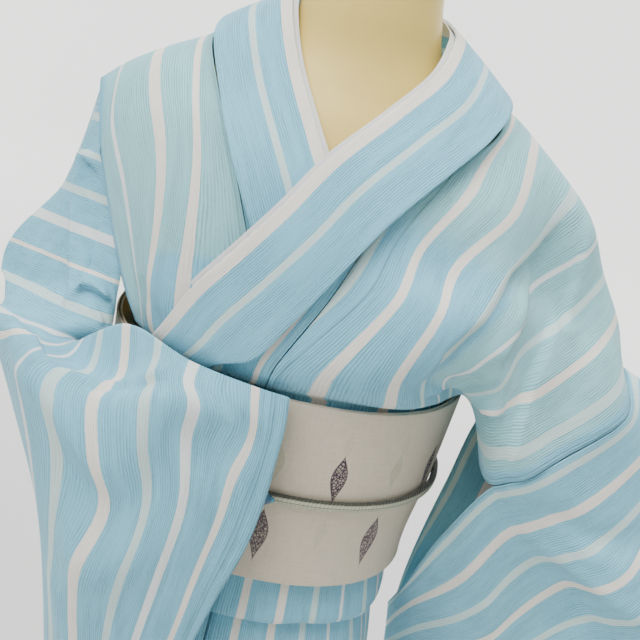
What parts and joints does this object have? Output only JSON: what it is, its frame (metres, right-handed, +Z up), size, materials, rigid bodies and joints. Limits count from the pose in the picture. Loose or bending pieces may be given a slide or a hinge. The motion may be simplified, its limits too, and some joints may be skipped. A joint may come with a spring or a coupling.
{
  "type": "summer kimono on a dress form",
  "caption": "Unlined summer kimono in striped crepe, worn left over right with a patterned belt and a braided cord with a clasp, on a limbless dress form.",
  "frame": {"origin": "centre of the underside of the form's round base, on the floor", "axes": "+Z up, the garment's front faces -Y, +X is the wearer's left"},
  "size_m": [0.7005, 0.3763, 1.47],
  "materials": {
    "crepe_body_right": "ribbed cotton crepe, woven stripes",
    "crepe_body_left": "ribbed cotton crepe, woven stripes",
    "crepe_okumi_right": "ribbed cotton crepe, woven stripes",
    "crepe_okumi_left": "ribbed cotton crepe, woven stripes",
    "crepe_sleeve_right": "ribbed cotton crepe, woven stripes",
    "crepe_sleeve_left": "ribbed cotton crepe, woven stripes",
    "crepe_collar": "ribbed cotton crepe, two thicknesses",
    "white_lining": "plain white cotton",
    "obi_weave": "plain weave with small woven leaves",
    "obi_weave_drum": "plain weave",
    "obi_weave_tail": "plain weave",
    "cord_braid": "flat silk braid, dark above and pale below",
    "blue_glass": "deep blue glass, polished",
    "form_shell": "pale yellow moulded shell",
    "form_pole_metal": "brushed",
    "form_base_paint": "satin paint"
  },
  "bodies": {
    "root": {"body_right": "crepe_body_right", "body_left": "crepe_body_left", "okumi_right": "crepe_okumi_right", "okumi_left": "crepe_okumi_left", "sleeve_right": "crepe_sleeve_right", "sleeve_left": "crepe_sleeve_left", "collar": "crepe_collar", "collar_lining": "white_lining", "obi_band": "obi_weave", "obi_drum": "obi_weave_drum", "obi_tail": "obi_weave_tail", "obi_cord": "cord_braid", "obi_clasp": "blue_glass", "form_torso": "form_shell", "form_pole": "form_pole_metal", "form_base": "form_base_paint"}
  },
  "joints": []
}
